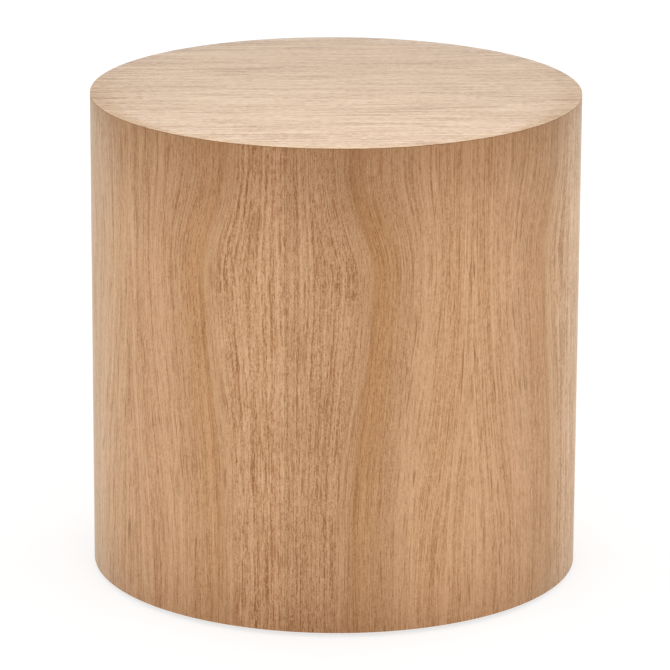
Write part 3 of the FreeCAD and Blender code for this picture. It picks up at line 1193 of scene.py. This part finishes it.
@dataclass
class TopVeneer:
    """The round veneer of the top, with its eased edge."""

    name: str = "top_veneer_sheet"
    radius: float = DRUM_RADIUS
    lower: float = SIDE_TOP
    upper: float = TABLE_TOP
    ease: float = 0.25 * MM
    ease_steps: int = 4
    under_rings: tuple[float, ...] = (0.0, 0.5, 1.0)
    upper_rings: tuple[float, ...] = (0.9, 0.6, 0.3, 0.0)
    segments: int = 512
    facing_up: float = 0.3
    crease: float = 50.0

    def profile(self) -> list[Point]:
        """Returns the outline from the axis under the sheet, round its edge and back to the axis."""
        outline = [(self.radius * share, self.lower) for share in self.under_rings]
        for step in range(self.ease_steps + 1):
            angle = math.pi / 2 * step / self.ease_steps
            radius = self.radius - self.ease * (1 - math.cos(angle))
            outline.append((radius, self.upper - self.ease * (1 - math.sin(angle))))
        return outline + [(self.radius * share, self.upper) for share in self.upper_rings]

    def build(self, face: bpy.types.Material, edge: bpy.types.Material) -> bpy.types.Object:
        """Builds the veneer.

        Args:
            face: The material of the upper face.
            edge: The material of the edge and underside.

        Returns:
            The veneer, standing for the CAD node.
        """
        mesh = lathe(self.name, self.profile(), self.segments)
        grain = mesh.attributes.new(GRAIN, "FLOAT_VECTOR", "POINT")
        for vertex in mesh.vertices:
            grain.data[vertex.index].vector = (vertex.co.y, vertex.co.x, 0.0)
        mesh.materials.append(face)
        mesh.materials.append(edge)
        for polygon in mesh.polygons:
            polygon.material_index = 0 if polygon.normal.z > self.facing_up else 1
        smooth_by_angle(mesh, self.crease)
        return hand_over(new_object(self.name, mesh), ["top_veneer"], "drum")


@dataclass
class BaseScrews:
    """The countersunk screws under the base, each with a cross recess."""

    count: int = 8
    circle: float = FIXING_CIRCLE
    start: float = math.radians(22.5)
    level: float = BASE_LEVEL
    head: float = 4.0 * MM
    head_rim: float = 0.15 * MM
    shank: float = 2.0 * MM
    length: float = 23.0 * MM
    tip: float = 4.0 * MM
    recess_reach: float = 2.3 * MM
    recess_width: float = 0.75 * MM
    recess_depth: float = 1.6 * MM
    recess_point: float = 0.35
    recess_taper: float = 0.6
    sides: int = 48
    seed: int = 7

    def recess(self) -> bpy.types.Object:
        """Returns the cross-shaped cutter of the recess, tapered as a driver's point is."""
        shape = bmesh.new()
        for turn in (0.0, math.pi / 2):
            made = bmesh.ops.create_cube(shape, size=2.0)["verts"]
            for vertex in made:
                deep = vertex.co.z > 0
                reach = self.recess_reach * (self.recess_point if deep else 1.0)
                width = self.recess_width * (self.recess_taper if deep else 1.0)
                level = self.recess_depth if deep else -self.recess_depth
                place = Vector((vertex.co.x * reach, vertex.co.y * width / 2, level))
                vertex.co = Matrix.Rotation(turn, 3, "Z") @ place
        mesh = bpy.data.meshes.new("screw_recess")
        shape.to_mesh(mesh)
        shape.free()
        return new_object("screw_recess", mesh)

    def screw(self) -> bpy.types.Object:
        """Returns one screw with its head at the origin, pointing up."""
        profile = [
            (0.0, 0.0),
            (self.head - self.head_rim, 0.0),
            (self.head, self.head_rim),
            (self.shank, self.head - self.shank),
            (self.shank, self.length - self.tip),
            (0.0, self.length),
        ]
        screw = new_object("base_screw", lathe("base_screw", profile, self.sides))
        cutter = self.recess()
        cut = screw.modifiers.new("Recess", "BOOLEAN")
        cut.object = cutter
        cut.use_self = True
        settle(screw)
        smooth_by_angle(screw.data)
        bpy.data.objects.remove(cutter)
        return screw

    def build(self, finish: bpy.types.Material) -> bpy.types.Object:
        """Builds all the screws.

        Args:
            finish: Their material.

        Returns:
            The screws, standing for their CAD node.
        """
        screw = self.screw()
        inputs = {
            "Screw": screw,
            "Count": self.count,
            "Circle": self.circle,
            "Start": self.start,
            "Level": self.level,
            "Seed": self.seed,
            "Finish": finish,
        }
        tree = Tree("Screw circle", inputs)
        graph, given = tree.graph, tree.given
        step = graph.math("DIVIDE", 2 * math.pi, given["Count"])
        angle = graph.math("MULTIPLY_ADD", tree.index(), step, given["Start"])
        x = graph.times(given["Circle"], graph.math("COSINE", angle))
        y = graph.times(given["Circle"], graph.math("SINE", angle))
        points = tree.points(given["Count"], graph.point(x, y, given["Level"]))
        source = graph.node("GeometryNodeObjectInfo", None, {"Object": given["Screw"]})
        chance = graph.node("FunctionNodeRandomValue", {"data_type": "FLOAT"}, {"Seed": given["Seed"]})
        turn = graph.times(chance.outputs["Value"], math.pi)
        turned = graph.point(0.0, 0.0, turn)
        tree.close(tree.repeat(points, source.outputs["Geometry"], "Rotation", turned))
        screws = new_object("base_screw_circle", bpy.data.meshes.new("base_screw_circle"))
        tree.run(screws)
        settle(screws)
        bpy.data.objects.remove(screw)
        return hand_over(screws, ["base_screws"], "drum")


@dataclass
class LevellingFoot:
    """One levelling foot: a fluted nylon pad, and a threaded stem that swivels in it."""

    number: int
    angle: float
    circle: float = FIXING_CIRCLE

    # The pad: its outline, the roundings of its edges, the socket in it and the flutes round it
    pad_radius: float = 15.0 * MM
    pad_top: float = 11.0 * MM
    pad_height: float = 7.0 * MM
    skirt: float = 3.0 * MM
    edge: float = 0.8 * MM
    edge_ease: float = 0.24 * MM
    skirt_drop: float = 0.5 * MM
    skirt_ease: float = 0.15 * MM
    skirt_lift: float = 0.05 * MM
    top_drop: float = 0.3 * MM
    top_ease: float = 0.15 * MM
    socket: float = 6.65 * MM
    socket_floor: float = 2.0 * MM
    socket_top: float = 4.3 * MM
    mouth: float = 3.65 * MM
    flutes: int = 36
    flute_depth: float = 0.35 * MM
    flute_steps: int = 8

    # The stem's collar, neck and hexagon
    collar: float = 6.5 * MM
    collar_level: float = 2.15 * MM
    collar_height: float = 2.0 * MM
    neck: float = 3.5 * MM
    hexagon: float = 6.5 * MM
    hexagon_level: float = 7.5 * MM
    hexagon_height: float = 4.0 * MM
    hexagon_sides: int = 6
    bevel: float = 0.4 * MM
    sides: int = 64

    # The thread, with its rows for each turn, and its crest and trough as shares of half a turn
    thread: float = 4.0 * MM
    thread_top: float = 37.5 * MM
    pitch: float = 1.25 * MM
    thread_depth: float = 0.68 * MM
    thread_sides: int = 40
    thread_rows: int = 8
    crest: float = 0.12
    trough: float = 0.8
    last_row: float = 0.4999
    chamfer: float = 1.0 * MM
    crease: float = 30.0

    def centre(self) -> tuple[float, float]:
        """Returns where the foot's axis stands."""
        return self.circle * math.cos(self.angle), self.circle * math.sin(self.angle)

    def build_pad(self, finish: bpy.types.Material) -> bpy.types.Object:
        """Builds the pad, its skirt fluted for grip.

        Args:
            finish: The nylon.

        Returns:
            The pad, standing for its CAD node.
        """
        profile = [
            (0.0, 0.0),
            (self.pad_radius - self.edge, 0.0),
            (self.pad_radius - self.edge_ease, self.edge_ease),
            (self.pad_radius, self.edge),
            (self.pad_radius, self.skirt - self.skirt_drop),
            (self.pad_radius - self.skirt_ease, self.skirt + self.skirt_lift),
            (self.pad_top + self.top_drop, self.pad_height - self.top_drop),
            (self.pad_top - self.top_ease, self.pad_height),
            (self.mouth, self.pad_height),
            (self.mouth, self.socket_top),
            (self.socket, self.socket_top),
            (self.socket, self.socket_floor),
            (0.0, self.socket_floor),
        ]
        name = f"levelling_pad_{self.number}"
        pad = new_object(name, lathe(name, profile, self.flute_steps * self.flutes))
        x_centre, y_centre = self.centre()
        inputs = {
            "Flutes": self.flutes,
            "Depth": self.flute_depth,
            "Inner": self.pad_top,
            "Rim": self.pad_radius,
            "Centre X": x_centre,
            "Centre Y": y_centre,
            "Finish": finish,
        }
        tree = Tree("Fluted pad", inputs, takes_mesh=True)
        graph, given = tree.graph, tree.given
        x, y, z = tree.position()
        radius = graph.math("SQRT", graph.add(graph.times(x, x), graph.times(y, y)))
        swing = graph.math("COSINE", graph.times(graph.math("ARCTAN2", y, x), given["Flutes"]))
        outwards = graph.subtract(radius, given["Inner"])
        share = graph.math("DIVIDE", outwards, graph.subtract(given["Rim"], given["Inner"]))
        cut = graph.times(graph.math("MINIMUM", graph.math("MAXIMUM", share, 0.0), 1.0), given["Depth"])
        drop = graph.times(cut, graph.math("MULTIPLY_ADD", swing, -0.5, 0.5))
        scale = graph.subtract(1.0, graph.math("DIVIDE", drop, graph.math("MAXIMUM", radius, MM)))
        moved = graph.point(
            graph.math("MULTIPLY_ADD", x, scale, given["Centre X"]),
            graph.math("MULTIPLY_ADD", y, scale, given["Centre Y"]),
            z,
        )
        tree.close(tree.move(given["Geometry"], moved))
        tree.run(pad)
        settle(pad)
        smooth_by_angle(pad.data)
        return hand_over(pad, [f"foot_pad_{self.number}"], f"pad_{self.number}")

    def spindle(self) -> bpy.types.Mesh:
        """Returns the stem's collar, neck and hexagon, about the origin."""
        collar_top = self.collar_level + self.collar_height
        hexagon_top = self.hexagon_level + self.hexagon_height
        root = self.thread - self.thread_depth
        turned = lathe(
            "spindle",
            [
                (0.0, self.collar_level),
                (self.collar, self.collar_level),
                (self.collar, collar_top),
                (self.neck, collar_top),
                (self.neck, self.hexagon_level),
                (root, self.hexagon_level),
                (root, hexagon_top),
                (0.0, hexagon_top),
            ],
            self.sides,
        )
        corner = self.hexagon / math.cos(math.pi / self.hexagon_sides)
        six = lathe(
            "hexagon",
            [
                (0.0, self.hexagon_level),
                (corner - 2 * self.bevel, self.hexagon_level),
                (corner, self.hexagon_level + self.bevel),
                (corner, hexagon_top - self.bevel),
                (corner - 2 * self.bevel, hexagon_top),
                (0.0, hexagon_top),
            ],
            self.hexagon_sides,
        )
        shape = bmesh.new()
        shape.from_mesh(turned)
        shape.from_mesh(six)
        shape.to_mesh(turned)
        shape.free()
        bpy.data.meshes.remove(six)
        return turned

    def build_stem(self, finish: bpy.types.Material) -> bpy.types.Object:
        """Builds the stem with its cut thread.

        Args:
            finish: The plated steel.

        Returns:
            The stem, standing for its CAD node.
        """
        stem = new_object(f"levelling_stem_{self.number}", self.spindle())
        x_centre, y_centre = self.centre()
        lower = self.hexagon_level + self.hexagon_height
        turns = (self.thread_top - lower) / self.pitch
        inputs = {
            "Radius": self.thread,
            "Depth": self.thread_depth,
            "Pitch": self.pitch,
            "Lower": lower,
            "Upper": self.thread_top,
            "Chamfer": self.chamfer,
            "Around": self.thread_sides + 1,
            "Along": int(turns * self.thread_rows) + 1,
            "Centre X": x_centre,
            "Centre Y": y_centre,
            "Finish": finish,
        }
        tree = Tree("Screw thread", inputs, takes_mesh=True)
        graph, given = tree.graph, tree.given
        sheet = tree.sheet(given["Around"], given["Along"])
        u, v, _ = tree.position()
        length = graph.subtract(given["Upper"], given["Lower"])
        z = graph.math("MULTIPLY_ADD", graph.add(v, 0.5), length, given["Lower"])
        phase = graph.math("FRACT", graph.subtract(graph.math("DIVIDE", z, given["Pitch"]), u))
        flank = graph.math("ABSOLUTE", graph.math("MULTIPLY_ADD", phase, 2.0, -1.0))
        groove_inputs = {0: flank, 1: self.crest, 2: self.trough, 3: 0.0, 4: 1.0}
        groove = graph.node("ShaderNodeMapRange", {"clamp": True}, groove_inputs).outputs[0]
        cut = graph.subtract(given["Radius"], graph.times(groove, given["Depth"]))
        tip = graph.subtract(given["Radius"], given["Chamfer"])
        slope = graph.add(graph.subtract(given["Upper"], z), tip)
        # The sheet's last row is drawn in to the axis, which closes the tip
        closed = graph.math("LESS_THAN", v, self.last_row)
        radius = graph.times(graph.math("MINIMUM", cut, slope), closed)
        angle = graph.times(u, 2 * math.pi)
        around = graph.point(
            graph.times(radius, graph.math("COSINE", angle)),
            graph.times(radius, graph.math("SINE", angle)),
            z,
        )
        weld_inputs = {"Geometry": tree.move(sheet, around), "Distance": ONE_POINT}
        welded = graph.node("GeometryNodeMergeByDistance", None, weld_inputs).outputs[0]
        both = graph.node("GeometryNodeJoinGeometry")
        graph.feed(both.inputs[0], given["Geometry"])
        graph.feed(both.inputs[0], welded)
        centre = graph.point(given["Centre X"], given["Centre Y"])
        shift_inputs = {"Geometry": both.outputs[0], "Translation": centre}
        tree.close(graph.node("GeometryNodeTransform", None, shift_inputs).outputs[0])
        tree.run(stem)
        settle(stem)
        smooth_by_angle(stem.data, self.crease)
        return hand_over(stem, [f"foot_stem_{self.number}"], f"stem_{self.number}")


@dataclass(frozen=True)
class SoftBox:
    """A rectangular lamp, its glow set as the brightness of its face."""

    name: str
    place: tuple[float, float, float]
    target: tuple[float, float, float]
    width: float
    height: float
    glow: float
    mirrored: bool = False

    def build(self) -> None:
        """Hangs the lamp and points it at its target."""
        data = bpy.data.lights.new(self.name, "AREA")
        data.shape = "RECTANGLE"
        data.size = self.width
        data.size_y = self.height
        data.energy = self.glow * self.width * self.height * math.pi
        lamp = bpy.data.objects.new(self.name, data)
        toward = Vector(self.target) - Vector(self.place)
        lamp.location = self.place
        lamp.rotation_euler = toward.to_track_quat("-Z", "Y").to_euler()
        lamp.visible_glossy = self.mirrored
        bpy.context.scene.collection.objects.link(lamp)


@dataclass
class Studio:
    """The floor, the light and the camera."""

    floor_radius: float = 15.0
    floor_hole: float = 0.2
    floor_sides: int = 96
    floor_colour: str = "#F4F4F4"
    floor_white: float = 0.6
    floor_glow: float = 1.18
    floor_drop: float = 0.1 * MM
    sky: float = 0.69
    camera_place: tuple[float, float, float] = (0.0, -4.0997, 1.3999)
    camera_pitch: float = math.radians(16.098)
    camera_roll: float = math.radians(0.266)
    lens: float = 246.84
    sensor: float = 36.0
    view_depth: float = 100.0
    boxes: tuple[SoftBox, ...] = (
        SoftBox("front_box", (0.0, -3.2, 1.3), (0.0, 0.0, 0.3), 3.6, 1.6, 1.66),
        SoftBox("left_box", (-1.9, 2.1, 0.66), (0.0, 0.0, 0.25), 1.6, 1.3, 3.3),
        SoftBox("right_box", (2.0, 2.0, 0.66), (0.0, 0.0, 0.25), 1.6, 1.3, 4.5),
        SoftBox("overhead_box", (0.0, -0.27, 0.95), (0.0, -0.2, 0.45), 0.45, 0.2, 3.8),
        SoftBox("back_box", (0.0, 1.7, 1.3), (0.0, 0.0, 0.45), 0.6, 0.8, 1.05, mirrored=True),
    )

    def build(self) -> None:
        """Builds the whole studio."""
        self.build_floor()
        self.build_sky()
        self.build_lamps()
        self.build_camera()

    @staticmethod
    def seen_rays(graph: Graph) -> Socket:
        """Picks out the rays that show a surface to the camera, in gloss and through glass.

        Args:
            graph: The graph to work in.

        Returns:
            One for such a ray, and none for a ray of plain light.
        """
        rays = graph.node("ShaderNodeLightPath").outputs
        seen = graph.math("MAXIMUM", rays["Is Camera Ray"], rays["Is Glossy Ray"])
        return graph.math("MAXIMUM", seen, rays["Is Transmission Ray"])

    def build_floor(self) -> None:
        """Lays a pale floor that keeps the table's shadow.

        It is clear from below, and open where the table hides it, so that the base gets light.
        """
        mesh = bpy.data.meshes.new("studio_floor")
        corners = []
        for side in range(self.floor_sides):
            turn = 2.0 * math.pi * side / self.floor_sides
            for radius in (self.floor_hole, self.floor_radius):
                corners.append((radius * math.cos(turn), radius * math.sin(turn), -self.floor_drop))
        count = len(corners)
        faces = [(near, near + 1, (near + 3) % count, (near + 2) % count) for near in range(0, count, 2)]
        mesh.from_pydata(corners, [], faces)
        material = bpy.data.materials.new("studio floor")
        material.use_nodes = True
        material.node_tree.nodes.clear()
        graph = Graph(material.node_tree)
        matt = graph.node("ShaderNodeBsdfDiffuse", None, {"Color": tone(self.floor_colour)}).outputs[0]
        seen = graph.times(self.seen_rays(graph), self.floor_white)
        glow = graph.node("ShaderNodeEmission", None, {"Strength": self.floor_glow}).outputs[0]
        both = graph.node("ShaderNodeMixShader", None, {0: seen, 1: matt, 2: glow}).outputs[0]
        clear = graph.node("ShaderNodeBsdfTransparent").outputs[0]
        under = graph.node("ShaderNodeNewGeometry").outputs["Backfacing"]
        sheet = graph.node("ShaderNodeMixShader", None, {0: under, 1: both, 2: clear}).outputs[0]
        graph.node("ShaderNodeOutputMaterial", None, {"Surface": sheet})
        mesh.materials.append(material)
        new_object("studio_floor", mesh)

    def build_sky(self) -> None:
        """Lights the table from all round, and shows white to the camera and in gloss."""
        world = bpy.data.worlds.new("studio sky")
        world.use_nodes = True
        world.node_tree.nodes.clear()
        graph = Graph(world.node_tree)
        strength = graph.math("MULTIPLY_ADD", self.seen_rays(graph), 1.0 - self.sky, self.sky)
        glow = graph.node("ShaderNodeBackground", None, {"Strength": strength})
        glow.inputs["Color"].default_value = (1.0, 1.0, 1.0, 1.0)
        graph.node("ShaderNodeOutputWorld", None, {"Surface": glow.outputs[0]})
        bpy.context.scene.world = world

    def build_lamps(self) -> None:
        """Hangs the soft boxes."""
        for box in self.boxes:
            box.build()

    def build_camera(self) -> None:
        """Sets the camera at the photograph's viewing angle."""
        data = bpy.data.cameras.new("camera")
        data.lens = self.lens
        data.sensor_width = self.sensor
        data.clip_end = self.view_depth
        camera = bpy.data.objects.new("camera", data)
        forward = Vector((0.0, math.cos(self.camera_pitch), -math.sin(self.camera_pitch)))
        level = Vector((1.0, 0.0, 0.0))
        above = level.cross(forward)
        right = math.cos(self.camera_roll) * level + math.sin(self.camera_roll) * above
        up = math.cos(self.camera_roll) * above - math.sin(self.camera_roll) * level
        turn = Matrix((right, up, -forward)).transposed().to_4x4()
        camera.matrix_world = Matrix.Translation(self.camera_place) @ turn
        bpy.context.scene.collection.objects.link(camera)
        bpy.context.scene.camera = camera


def dress(nodes: Sequence[str], material: bpy.types.Material) -> None:
    """Gives CAD nodes a finish.

    Args:
        nodes: The nodes' names.
        material: Their finish.
    """
    for name in nodes:
        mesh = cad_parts[name].data
        mesh.materials.clear()
        mesh.materials.append(material)
        log.info("dressed %s with %s", name, material.name)


def main() -> None:
    """Builds the studio, then dresses the table piece by piece."""
    logging.basicConfig(level=logging.INFO, format="%(name)s: %(message)s")
    bpy.context.scene.view_settings.view_transform = "Standard"
    Studio().build()
    SIDE_VENEER.build(SIDE_FACE.build())
    plywood = BENDING_PLY.build()
    for wrap in PLY_WRAPS:
        wrap.build(plywood)
    TopVeneer().build(TOP_FACE.build(), VENEER_EDGE.build())
    steel = ZINC_PLATE.build()
    nylon = FOOT_NYLON.build()
    BaseScrews().build(steel)
    for number in range(1, FEET + 1):
        foot = LevellingFoot(number, (number - 0.5) * 2 * math.pi / FEET)
        foot.build_pad(nylon)
        foot.build_stem(steel)
    dress(["top_panel", "top_ring", "middle_ring", "bottom_ring", "base_panel"], FIBREBOARD.build())
    dress(["post_front", "post_right", "post_back", "post_left"], SOFTWOOD.build())
    dress(["post_dowels"], BEECH.build())
    dress(["top_backing_veneer"], BACKING.build())
    dress(["post_screws", "middle_ring_screws", "top_screws", "tee_nuts"], steel)


if __name__ == "__main__":
    main()
